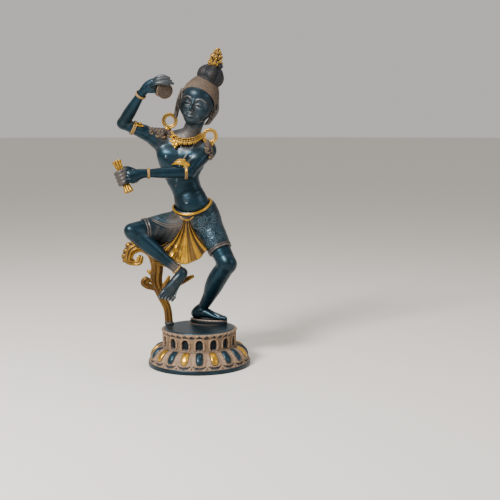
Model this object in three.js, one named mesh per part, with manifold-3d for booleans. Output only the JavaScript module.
// A dancing figure in cast brass, one knee raised on a scrolling leaf prop, on a round lotus pedestal.
// Millimetres, +Z up. The origin is the centre of the pedestal's underside, and the figure faces -Y.
import * as THREE from "three";
import { mergeVertices } from "three/addons/utils/BufferGeometryUtils.js";
import Module from "manifold-3d";

const wasm = await Module();
wasm.setup();

const TAU = 2 * Math.PI;
const FIT_GAP = 0.3;
const at = (x, y, z) => new THREE.Vector3(x, y, z);
const degrees = THREE.MathUtils.degToRad;

// Driving dimensions of the pedestal.
const pedestal = {
  height: 77,
  footRadius: 106,
  footHeight: 9,
  skirtTopRadius: 77,
  skirtTopHeight: 41,
  bandRadius: 74,
  discRadius: 73,
  petals: 20,
  petalRise: 0.032,
  petalValley: 0.03,
  arches: 16,
  nicheDepth: 0.035,
  patternTurn: 3,
};
const soleHeight = 86;

// Joints of the body. The figure's own right side is on -X.
const joint = {
  crotch: at(-2, 32, 284),
  pelvis: at(-4, 30, 306),
  belt: at(-13, 24, 325),
  belly: at(-18, 21, 342),
  waist: at(-26, 20, 362),
  ribs: at(-35, 20, 394),
  chest: at(-33, 20, 428),
  collar: at(-27, 22, 454),
  neckBase: at(-19, 21, 467),
  neckTop: at(-5, 14, 503),
  head: at(0, 8, 537),
  bun: at(26, 14, 592),
  finial: at(34, 14, 613),
  finialTip: at(42, 14, 648),
  rightShoulder: at(-77, 25, 463),
  rightElbow: at(-152, 4, 497),
  rightWrist: at(-109, -38, 556),
  leftShoulder: at(18, 14, 441),
  leftElbow: at(-16, -30, 400),
  leftWrist: at(-101, -48, 398),
  rightHip: at(-28, 28, 292),
  rightKnee: at(-134, -28, 280),
  rightAnkle: at(-42, -9, 198),
  leftHip: at(14, 32, 292),
  leftKnee: at(59, -9, 211),
  leftAnkle: at(4, 47, 106),
};

// Head pose: nod, lean and turn of a head that looks along -Y.
const headPose = { nod: degrees(6), lean: degrees(15), turn: degrees(-14) };
const chestTurn = degrees(-10);

// The drum and the baton, each by the two ends of its axis.
const drum = { front: at(-61, -57, 560), back: at(-71, -29, 565), radius: 16, waist: 7 };
const baton = { top: at(-160, -47, 423), foot: at(-134, -57, 361), radius: 9, grip: 5.6, flutes: 8 };

const brassBlue = new THREE.MeshStandardMaterial({ color: 0x17364a, roughness: 0.4, metalness: 0.6 });
const brassGold = new THREE.MeshStandardMaterial({ color: 0xb4832b, roughness: 0.35, metalness: 0.9 });
const brassTan = new THREE.MeshStandardMaterial({ color: 0x8a7560, roughness: 0.6, metalness: 0.4 });

// A closed geometry as a solid, turned so that its faces point out.
function solid(geometry) {
  const bare = geometry.index ? geometry.toNonIndexed() : geometry.clone();
  bare.deleteAttribute("normal");
  bare.deleteAttribute("uv");
  const merged = mergeVertices(bare, 1e-3);
  const corners = new Uint32Array(merged.index.array);
  const make = () =>
    new wasm.Manifold(
      new wasm.Mesh({ numProp: 3, vertProperties: merged.attributes.position.array, triVerts: corners }),
    );
  const made = make();
  if (made.volume() > 0) return made;
  for (let i = 0; i < corners.length; i += 3) {
    [corners[i + 1], corners[i + 2]] = [corners[i + 2], corners[i + 1]];
  }
  return make();
}

const join = (solids) => solids.reduce((whole, next) => whole.add(next));

function meshOf(name, made, material) {
  const data = made.getMesh();
  const positions = new Float32Array(data.numVert * 3);
  for (let i = 0; i < data.numVert; i++) {
    positions.set(data.vertProperties.subarray(i * data.numProp, i * data.numProp + 3), i * 3);
  }
  const geometry = new THREE.BufferGeometry()
    .setAttribute("position", new THREE.BufferAttribute(positions, 3))
    .setIndex(new THREE.BufferAttribute(data.triVerts, 1));
  geometry.computeVertexNormals();
  const mesh = new THREE.Mesh(geometry, material);
  mesh.name = name;
  return mesh;
}

// Rings of points, each an array of the same length, closed by a point at either end.
function skin(rings, first, last) {
  const sides = rings[0].length;
  const points = [first, ...rings.flat(), last];
  const corner = (row, side) => 1 + row * sides + (side % sides);
  const faces = [];
  for (let side = 0; side < sides; side++) {
    faces.push(0, corner(0, side + 1), corner(0, side));
    for (let row = 0; row < rings.length - 1; row++) {
      const [a, b] = [corner(row, side), corner(row, side + 1)];
      const [c, d] = [corner(row + 1, side), corner(row + 1, side + 1)];
      faces.push(a, b, d, a, d, c);
    }
    const row = rings.length - 1;
    faces.push(points.length - 1, corner(row, side), corner(row, side + 1));
  }
  return solid(new THREE.BufferGeometry().setFromPoints(points).setIndex(faces));
}

// A form with round ends along a smooth line. A station is [centre, half width, half depth].
function loft(stations, { sides = 7, steps = 1, across = at(1, 0, 0), ends = [45] } = {}) {
  const line = new THREE.CatmullRomCurve3(stations.map((s) => s[0]), false, "centripetal");
  const widths = new THREE.SplineCurve(stations.map((s) => new THREE.Vector2(s[1], s[2] ?? s[1])));
  const rows = (stations.length - 1) * steps;
  const ringAt = (t, shift, scale) => {
    const along = line.getTangent(t);
    const middle = line.getPoint(t).addScaledVector(along, shift);
    const size = widths.getPoint(t);
    const right = across.clone().addScaledVector(along, -across.dot(along)).normalize();
    const front = right.clone().cross(along);
    return Array.from({ length: sides }, (_, i) => {
      const turn = (TAU * i) / sides;
      return middle
        .clone()
        .addScaledVector(right, Math.cos(turn) * size.x * scale)
        .addScaledVector(front, Math.sin(turn) * size.y * scale);
    });
  };
  const reach = (t) => Math.min(widths.getPoint(t).x, widths.getPoint(t).y);
  const cap = (t, way) =>
    ends.map((angle) => ringAt(t, way * reach(t) * Math.sin(degrees(angle)), Math.cos(degrees(angle))));
  const rings = [
    ...cap(0, -1).reverse(),
    ...Array.from({ length: rows + 1 }, (_, i) => ringAt(i / rows, 0, 1)),
    ...cap(1, 1),
  ];
  const tip = (t, way) => line.getPoint(t).addScaledVector(line.getTangent(t), way * reach(t));
  return skin(rings, tip(0, -1), tip(1, 1));
}

function ball(centre, size, { columns = 6, rows = 4, pose = new THREE.Matrix4() } = {}) {
  const geometry = new THREE.SphereGeometry(1, columns, rows);
  geometry.rotateX(Math.PI / 2).scale(size[0], size[1], size[2]);
  return solid(geometry.applyMatrix4(pose).translate(centre.x, centre.y, centre.z));
}

// A ring whose hole looks along a direction; wide and deep stretch it to an oval.
function ring(centre, facing, radius, thickness, { wide = 1, deep = 1, around = 10, section = 4 } = {}) {
  const geometry = new THREE.TorusGeometry(radius, thickness, section, around).scale(wide, deep, 1);
  geometry.applyQuaternion(new THREE.Quaternion().setFromUnitVectors(at(0, 0, 1), facing.clone().normalize()));
  return solid(geometry.translate(centre.x, centre.y, centre.z));
}

// A turned form from [radius, height] pairs that start and end on the axis, stood along a line.
// Fluting scales the radius by the turn from the front and the height; start turns the first seam.
function turned(profile, from, to, segments, { fluting = () => 1, start = 0 } = {}) {
  const geometry = new THREE.LatheGeometry(profile.map(([r, h]) => new THREE.Vector2(r, h)), segments, start);
  const place = geometry.attributes.position;
  for (let i = 0; i < place.count; i++) {
    const [x, y, z] = [place.getX(i), place.getY(i), place.getZ(i)];
    const scale = fluting(Math.atan2(x, z), y);
    place.setXYZ(i, x * scale, y, z * scale);
  }
  const along = to.clone().sub(from).normalize();
  geometry.applyQuaternion(new THREE.Quaternion().setFromUnitVectors(at(0, 1, 0), along));
  return solid(geometry.translate(from.x, from.y, from.z));
}

const between = (a, b, share) => a.clone().lerp(b, share);

const headMatrix = new THREE.Matrix4()
  .makeRotationZ(headPose.turn)
  .multiply(new THREE.Matrix4().makeRotationY(headPose.lean))
  .multiply(new THREE.Matrix4().makeRotationX(headPose.nod));
const onHead = (x, y, z) => at(x, y, z).applyMatrix4(headMatrix).add(joint.head);
const chestMatrix = new THREE.Matrix4().makeRotationZ(chestTurn);

function torso() {
  const across = at(1, 0, 0).applyMatrix4(chestMatrix);
  const trunk = loft(
    [
      [joint.crotch, 33, 28],
      [joint.pelvis, 46, 36],
      [joint.belt, 41, 30],
      [joint.belly, 34, 26],
      [joint.waist, 29.5, 23],
      [joint.ribs, 37, 26],
      [joint.chest, 50, 29],
      [joint.collar, 43, 24],
    ],
    { sides: 12, across },
  );
  const chestBall = (x) => ball(at(x, -19, 2).applyMatrix4(chestMatrix).add(joint.chest), [24, 13, 18]);
  const seat = [-22, 18].map((x) => {
    return ball(joint.pelvis.clone().add(at(x, 12, -13)), [30, 24, 30], { columns: 8, rows: 5 });
  });
  const neck = loft([[joint.neckBase, 21, 20], [between(joint.neckBase, joint.neckTop, 0.5), 18.5], [joint.neckTop, 19]]);
  const slope = loft([
    [joint.rightShoulder.clone().add(at(6, 0, -1)), 14],
    [joint.neckBase.clone().add(at(-4, 2, 2)), 18],
    [joint.leftShoulder.clone().add(at(-5, 2, 4)), 13],
  ]);
  const flank = loft([[at(-86, 24, 466), 16], [at(-69, 23, 445), 20], [at(-60, 20, 418), 21]], { across });
  return [trunk, neck, slope, flank, chestBall(-25), chestBall(23), ...seat];
}

// A thin form through points, for fingers, toes, curls and cords.
const strand = (points, radius, options = {}) =>
  loft(points.map((p, i) => [p, Array.isArray(radius) ? radius[i] : radius]), {
    sides: 4,
    across: at(0.2, 1, 0.3),
    ends: [],
    ...options,
  });

// The stations of a raised band round a limb, a share of the way from one joint to the next.
function bandOn(from, to, share, radius, rise, width) {
  const half = width / 2 / from.distanceTo(to);
  const station = (offset, size) => [between(from, to, share + offset * half), size];
  return [station(-1, radius), station(-0.8, radius + rise), station(0.8, radius + rise), station(1, radius)];
}

function rightArm() {
  const { rightShoulder, rightElbow, rightWrist } = joint;
  const arm = loft([
    [rightShoulder, 18],
    [between(rightShoulder, rightElbow, 0.35), 15.5],
    ...bandOn(rightShoulder, rightElbow, 0.73, 12.6, 2.6, 6),
    [rightElbow, 11.5],
    [between(rightElbow, rightWrist, 0.3), 12.5],
    ...bandOn(rightElbow, rightWrist, 0.95, 9, 2.4, 5),
  ]);
  const palm = loft(
    [[rightWrist, 8, 8], [at(-94, -43, 568), 8, 10.5], [at(-80, -47, 576), 6, 11]],
    { across: at(0.4, 0.2, -0.9) },
  );
  const fingers = [
    strand([at(-86, -48, 580), at(-77, -52, 590), at(-64, -55, 594), at(-53, -56, 588)], 3.8),
    strand([at(-84, -52, 579), at(-73, -58, 586), at(-60, -60, 587), at(-49, -60, 582)], 4),
    strand([at(-84, -55, 575), at(-72, -63, 580), at(-58, -65, 580), at(-45, -64, 576)], 4),
    strand([at(-88, -54, 570), at(-77, -63, 574), at(-64, -66, 575), at(-53, -66, 572)], 3.6),
    strand([at(-97, -44, 563), at(-87, -44, 560), at(-76, -42, 561)], [5, 4.6, 4]),
  ];
  const leaf = ball(between(rightShoulder, rightElbow, 0.72).add(at(5, -2, 12)), [11, 7, 6], { columns: 5, rows: 3 });
  return [arm, palm, ...fingers, leaf];
}

function leftArm() {
  const { leftShoulder, leftElbow, leftWrist } = joint;
  const arm = loft([
    [leftShoulder, 16.5],
    [between(leftShoulder, leftElbow, 0.35), 14.5],
    ...bandOn(leftShoulder, leftElbow, 0.7, 12.4, 2.6, 6),
    [leftElbow, 11.8],
    [between(leftElbow, leftWrist, 0.35), 12],
    ...bandOn(leftElbow, leftWrist, 0.95, 8.8, 2.4, 5),
  ]);
  const fist = loft(
    [[leftWrist, 8, 8], [at(-117, -53, 396), 11.5, 8.5], [at(-131, -57, 391), 14, 7.5]],
    { across: at(0.3, 0.1, -1) },
  );
  const along = baton.foot.clone().sub(baton.top).normalize();
  const middle = between(baton.top, baton.foot, 0.53);
  const reach = baton.grip + 4.4;
  const fingers = [-1.5, -0.5, 0.5, 1.5].map((place) => {
    const centre = middle.clone().addScaledVector(along, place * 7.4);
    const wrap = [-40, -115, -190, -240].map((angle) =>
      centre.clone().add(at(Math.cos(degrees(angle)) * reach * 1.25, Math.sin(degrees(angle)) * reach, 0)),
    );
    return strand([centre.clone().add(at(17, -5, 3)), ...wrap], 4.2);
  });
  const thumb = strand([at(-122, -42, 398), at(-134, -38, 402), at(-144, -38, 404)], [5.4, 4.8, 4]);
  const heel = ball(at(-125, -47, 391), [11, 8, 13], { columns: 5, rows: 3 });
  const leaf = ball(between(leftShoulder, leftElbow, 0.7).add(at(-9, -12, 3)), [13, 5, 5], { columns: 5, rows: 3 });
  return [arm, fist, heel, ...fingers, thumb, leaf];
}

function head() {
  const skull = ball(onHead(0, 3, 5), [36, 38, 36], { columns: 10, rows: 7, pose: headMatrix });
  const jaw = ball(onHead(0, -9, -14), [29, 27, 30], { columns: 8, rows: 6, pose: headMatrix });
  const nose = loft([[onHead(0, -35, 6), 2.6, 3], [onHead(0, -40, -8), 4.4, 3.4]], { sides: 5 });
  const fine = { columns: 5, rows: 3, pose: headMatrix };
  const lips = [-23, -27.5].map((z) => ball(onHead(0, -33, z), [8, 3.4, 2.4], fine));
  const lids = [-13, 13].map((x) => ball(onHead(x, -30, 1), [8.5, 4.4, 4], fine));
  const brows = [-1, 1].map((side) =>
    strand([onHead(side * 4, -35, 9), onHead(side * 13, -33, 13), onHead(side * 23, -26, 9)], 2.2),
  );
  const lobes = [
    [[at(-31, 12, 560), 4.5, 8], [at(-34, 11, 540), 4.5, 8], [at(-43, 11, 515), 4, 5]],
    [[at(40, 10, 541), 4, 8], [at(35, 8, 518), 4, 8], [at(20, 5, 491), 4, 5]],
  ];
  const ears = lobes.map((stations) => loft(stations, { sides: 5, across: at(1, -0.3, 0.2), ends: [] }));
  return [skull, jaw, nose, ...lips, ...lids, ...brows, ...ears];
}

// The hair: a cap, a lobed bun, a leafy finial and locks on both shoulders.
function hair() {
  const cap = ball(onHead(0, 8, 12), [38, 36, 34], { columns: 9, rows: 5, pose: headMatrix });
  const root = loft([[onHead(3, 6, 32), 32, 30], [between(onHead(7, 6, 46), joint.bun, 0.35), 17.5]], { sides: 8 });
  const lobes = 7;
  const bunAxis = joint.finial.clone().sub(onHead(6, 6, 40)).normalize();
  const bunProfile = [[0, -25], [14, -23], [24, -14], [28.5, 0], [24, 14], [14, 22], [0, 24]];
  const bunTip = joint.bun.clone().add(bunAxis);
  const bun = turned(bunProfile, joint.bun, bunTip, lobes * 2, {
    fluting: (turn) => 0.95 + 0.06 * Math.cos(lobes * turn),
  });
  const leaves = 5;
  const spireProfile = [[0, -3], [10, -2], [16, 6], [10, 12], [15, 18], [9, 22], [11, 27], [6, 30], [0, 36]];
  const spire = turned(spireProfile, joint.finial, joint.finialTip, leaves * 2, {
    fluting: (turn, height) => 0.88 + 0.12 * Math.cos(leaves * turn + Math.PI * Math.floor(height / 14)),
  });
  const knot = ball(joint.finial.clone().add(at(10, -4, -2)), [6, 6, 5], { columns: 5, rows: 3 });
  const rightLock = strand([at(-58, 16, 479), at(-78, 15, 479), at(-96, 13, 484), at(-116, 10, 494)], [9, 9, 7, 4]);
  const leftLock = strand([at(18, 0, 458), at(25, -5, 446), at(29, -3, 432), at(25, -1, 420)], [8, 8, 6, 3]);
  return [cap, root, bun, spire, knot, rightLock, leftLock];
}

// Hoop earrings that stand on the shoulders, and the collar necklace with its drops and pendant.
function jewellery() {
  const small = { columns: 5, rows: 3 };
  const hoops = [at(-58, 12, 502), at(24, 4, 471)].map((centre) => {
    return ring(centre, at(0.1, 1, 0), 12.3, 3.8, { around: 12 });
  });
  const beads = [at(-63, 12, 486), at(26, 3, 455)].map((centre) => ball(centre, [6, 6, 5], small));
  const collarLine = [at(-57, 12, 478), at(-46, -3, 467), at(-27, -10, 462), at(-8, -8, 464), at(7, 4, 472)];
  const collar = loft(collarLine.map((p) => [p, 3.4, 8]), { sides: 6, across: at(0, -0.75, 0.65), ends: [] });
  const line = new THREE.CatmullRomCurve3(collarLine);
  const drops = [0.14, 0.3, 0.46, 0.62, 0.8].map((share) => {
    const deep = share === 0.3 ? 9 : 5;
    return ball(line.getPoint(share).add(at(0, -2, -6 - deep / 2)), [6, 3.6, 3 + deep], small);
  });
  return [...hoops, ...beads, collar, ...drops];
}

function rightLeg() {
  const { rightHip, rightKnee, rightAnkle } = joint;
  const leg = loft(
    [
      [rightHip, 29],
      [between(rightHip, rightKnee, 0.4), 26],
      ...bandOn(rightHip, rightKnee, 0.76, 20, 2, 4),
      [rightKnee.clone().add(at(4, 2, 0)), 17.5],
    ],
    { sides: 8 },
  );
  const shin = loft(
    [
      [rightKnee.clone().add(at(4, 0, -3)), 16.5],
      [between(rightKnee, rightAnkle, 0.3), 17.5],
      [between(rightKnee, rightAnkle, 0.62), 14],
      ...bandOn(rightKnee, rightAnkle, 0.96, 10.4, 2.4, 5),
    ],
    { sides: 8, across: at(0.7, 0, 0.7) },
  );
  const foot = loft([[at(-33, -9, 195), 12, 10], [at(-44, -13, 176), 12, 9.5], [at(-58, -16, 155), 15, 7.5]], {
    across: at(0.8, 0.1, -0.55),
  });
  const toes = [0, 1, 2, 3, 4].map((i) => {
    const root = at(-68 + i * 5.4, -18 + i * 0.8, 151 - i * 1.6);
    const tip = root.clone().add(at(-4 + i * 0.5, -2, -10 + i * 1.2));
    return strand([root, tip], i === 0 ? 4.8 : 3.7 - i * 0.15);
  });
  return [leg, shin, foot, ...toes];
}

function leftLeg() {
  const { leftHip, leftKnee, leftAnkle } = joint;
  const calf = (share, back) => between(leftKnee, leftAnkle, share).add(at(-back, back * 0.5, 0));
  const leg = loft(
    [
      [leftHip, 30],
      [between(leftHip, leftKnee, 0.35), 28],
      ...bandOn(leftHip, leftKnee, 0.66, 23.2, 2, 4),
      [leftKnee, 19],
      [calf(0.38, 6), 19.5],
      [calf(0.64, 4), 15.5],
      ...bandOn(leftKnee, leftAnkle, 0.96, 11.6, 1.8, 5),
    ],
    { sides: 8, across: at(1, 0.4, 0) },
  );
  const foot = loft(
    [[at(-10, 53, 94), 10, 9], [at(12, 44, 98), 11, 11], [at(34, 36, 91), 12, 6], [at(44, 33, 89), 13, 4.5]],
    { across: at(0.35, 1, 0) },
  );
  const toes = [0, 1, 2, 3, 4].map((i) => {
    const root = at(47 + i * 0.8, 23.5 + i * 4.6, 89.5);
    return strand([root, root.clone().add(at(8 - i * 1.1, -2.6, -0.6))], i === 0 ? 4.2 : 3.4 - i * 0.1);
  });
  return [leg, foot, ...toes];
}

// The slab under the standing foot, a rounded outline of the sole.
function footPlate() {
  const outline = new THREE.Shape();
  outline.absellipse(0, 0, 42, 17, 0, TAU);
  const bottom = pedestal.height + FIT_GAP;
  const thick = soleHeight - bottom;
  const slab = new THREE.ExtrudeGeometry(outline, { depth: thick, bevelEnabled: false, curveSegments: 7 });
  return [solid(slab.rotateZ(degrees(-20)).translate(18, 42, bottom))];
}

// The pleated sash that fans out between the thighs: a box bent so that its front is in folds.
function sash() {
  const folds = 5;
  const geometry = new THREE.BoxGeometry(1, 1, 1, folds * 2, 1, 2);
  const place = geometry.attributes.position;
  const top = at(-24, -7, 305);
  for (let i = 0; i < place.count; i++) {
    const [u, w, v] = [place.getX(i) * 2, place.getY(i), 0.5 - place.getZ(i)];
    const spread = degrees(-4 + u * 44 * (0.35 + 0.65 * v));
    const length = v * (94 - 24 * Math.abs(u)) + 3 * Math.abs(u);
    const pleat = Math.abs((((u * 0.5 + 0.5) * folds) % 1) - 0.5) * 2;
    const depth = w < 0 ? -2 - 4.5 * pleat * Math.sqrt(v) : 5;
    place.setXYZ(
      i,
      top.x + Math.sin(spread) * length + u * 5,
      top.y + 12 * v * (1 - 0.4 * v) + depth + 2 * u * u,
      top.z - Math.cos(spread) * length,
    );
  }
  return [solid(geometry)];
}

function belt() {
  return [ring(at(-14, 20, 329), at(-0.16, -0.385, 1), 39, 4.5, { deep: 0.76, around: 14 })];
}

function swags() {
  const right = [at(-34, -8, 304), at(-48, -14, 286), at(-66, -20, 280), at(-84, -22, 288), at(-96, -16, 302)];
  const left = [at(2, -10, 278), at(14, -16, 258), at(32, -18, 246), at(50, -8, 242)];
  return [strand(right, 2), strand(left, 2)];
}

// The lotus pedestal: a skirt of petals that turn down, a band of arches and a dished top.
function lotusPedestal() {
  const { footRadius, footHeight, skirtTopRadius, skirtTopHeight, bandRadius, discRadius, height } = pedestal;
  const { petals, arches, petalRise, petalValley, nicheDepth, patternTurn } = pedestal;
  const onAxis = [at(0, 0, 0), at(0, 0, 1)];
  const [petalFoot, petalTop] = [footHeight + 1.5, 34.5];
  const skirtProfile = [
    [0, 0],
    [footRadius, 0],
    [footRadius, footHeight - 1],
    [footRadius - 3, petalFoot],
    [footRadius - 5, 16],
    [94, 30],
    [89, petalTop],
    [skirtTopRadius, skirtTopHeight],
    [0, skirtTopHeight],
  ];
  const petalShape = (turn, z) => {
    const wave = Math.cos(petals * turn);
    if (wave < 0 && z >= petalFoot && z <= petalTop) return 1 - petalValley;
    return wave > 0 && z > petalFoot && z < petalTop ? 1 + petalRise : 1;
  };
  const skirt = turned(skirtProfile, ...onAxis, petals * 3, { fluting: petalShape });
  const bandProfile = [
    [0, skirtTopHeight - 2],
    [bandRadius + 1, skirtTopHeight - 2],
    [bandRadius + 1, 45],
    [bandRadius, 47],
    [bandRadius, 61],
    [bandRadius + 4, height - 8],
    [discRadius + 1, height - 2.5],
    [discRadius, height],
    [0, height],
  ];
  const archShape = (turn, z) => {
    const wave = Math.cos(arches * turn);
    if (wave > 0 && z > 46 && z < 62) return 1 - nicheDepth;
    return wave < 0 && z > 62 && z < height - 6 ? 1 - nicheDepth / 2 : 1;
  };
  const band = turned(bandProfile, ...onAxis, arches * 3, { fluting: archShape, start: Math.PI / (3 * arches) });
  return join([skirt, band]).rotate([0, 0, patternTurn]);
}

// The prop: a leafy stem with side curls, which ends in a scroll of acanthus under the raised shin.
const propLine = [
  at(-65, 30, pedestal.height + FIT_GAP),
  at(-69, 30, 112),
  at(-81, 27, 140),
  at(-90, 23, 170),
  at(-88, 17, 205),
  at(-97, 12, 234),
  at(-120, 8, 246),
  at(-142, 7, 236),
  at(-146, 7, 218),
  at(-133, 7, 211),
];
const propGirth = [8, 8, 9.2, 11.8, 12, 13, 12, 11, 9, 5.5];

function prop() {
  const stem = loft(propLine.map((p, i) => [p, propGirth[i], propGirth[i] * 0.85]), { across: at(0.2, 1, 0) });
  const heart = at(-127, 7, 228);
  const lobes = [5, 45, 85, 125, 165, 205].map((angle) => {
    const [x, z] = [Math.cos(degrees(angle)), Math.sin(degrees(angle))];
    return ball(heart.clone().add(at(x * 23, 0, z * 22)), [8, 11, 8], { columns: 5, rows: 3 });
  });
  const curls = [
    strand(
      [at(-86, 24, 156), at(-103, 22, 159), at(-117, 20, 163), at(-119, 20, 173), at(-109, 20, 174)],
      [8, 7, 7.5, 7, 5.5],
    ),
    strand([at(-92, 20, 186), at(-103, 18, 189), at(-108, 18, 197)], [7, 6, 4]),
    strand([at(-92, 14, 216), at(-78, 10, 211), at(-66, 8, 204)], [9, 8, 4]),
    strand([at(-84, 25, 156), at(-70, 25, 166), at(-62, 24, 180)], [8, 7, 4]),
    strand([at(-82, 26, 150), at(-60, 27, 160), at(-36, 25, 170), at(-14, 20, 181)], [7, 7.5, 7, 4]),
  ];
  const foot = turned([[0, 0], [10, 0], [10, 5], [8, 9], [0, 9]], propLine[0], propLine[0].clone().add(at(0, 0, 1)), 8);
  const below = solid(new THREE.BoxGeometry(300, 300, 20).translate(0, 0, pedestal.height + FIT_GAP - 10));
  return join([stem, ...lobes, ...curls, foot]).subtract(below);
}

function handDrum(spare = 0) {
  const length = drum.front.distanceTo(drum.back);
  const rim = drum.radius + spare;
  const profile = [
    [0, -spare],
    [rim, -spare],
    [rim, 3 + spare],
    [drum.waist + 5 + spare, length * 0.27],
    [drum.waist + spare, length * 0.5],
    [drum.waist + 5 + spare, length * 0.73],
    [rim, length - 3 - spare],
    [rim, length + spare],
    [0, length + spare],
  ];
  return turned(profile, drum.back, drum.front, 14);
}

function fluted(spare = 0) {
  const length = baton.top.distanceTo(baton.foot);
  const profile = [
    [0, -spare],
    [baton.radius + spare, -spare],
    [baton.radius - 1 + spare, length * 0.12],
    [baton.grip + spare, length * 0.36],
    [baton.grip + spare, length * 0.66],
    [baton.radius - 1 + spare, length * 0.88],
    [baton.radius + spare, length + spare],
    [0, length + spare],
  ];
  const fluting = (turn) => (spare ? 1 : 0.94 + 0.06 * Math.cos(baton.flutes * turn));
  return turned(profile, baton.top, baton.foot, baton.flutes * 2, { fluting });
}

const pedestalSolid = lotusPedestal();
const propSolid = prop();
const figureSolid = join([
  ...torso(),
  ...rightArm(),
  ...leftArm(),
  ...head(),
  ...hair(),
  ...jewellery(),
  ...rightLeg(),
  ...leftLeg(),
  ...footPlate(),
  ...sash(),
  ...belt(),
  ...swags(),
])
  .subtract(handDrum(FIT_GAP))
  .subtract(fluted(FIT_GAP));

const statue = new THREE.Group();
statue.add(
  meshOf("lotus_pedestal", pedestalSolid, brassTan),
  meshOf("dancing_figure", figureSolid, brassBlue),
  meshOf("leaf_prop", propSolid, brassGold),
  meshOf("hand_drum", handDrum(), brassTan),
  meshOf("fluted_baton", fluted(), brassGold),
);

export default statue;
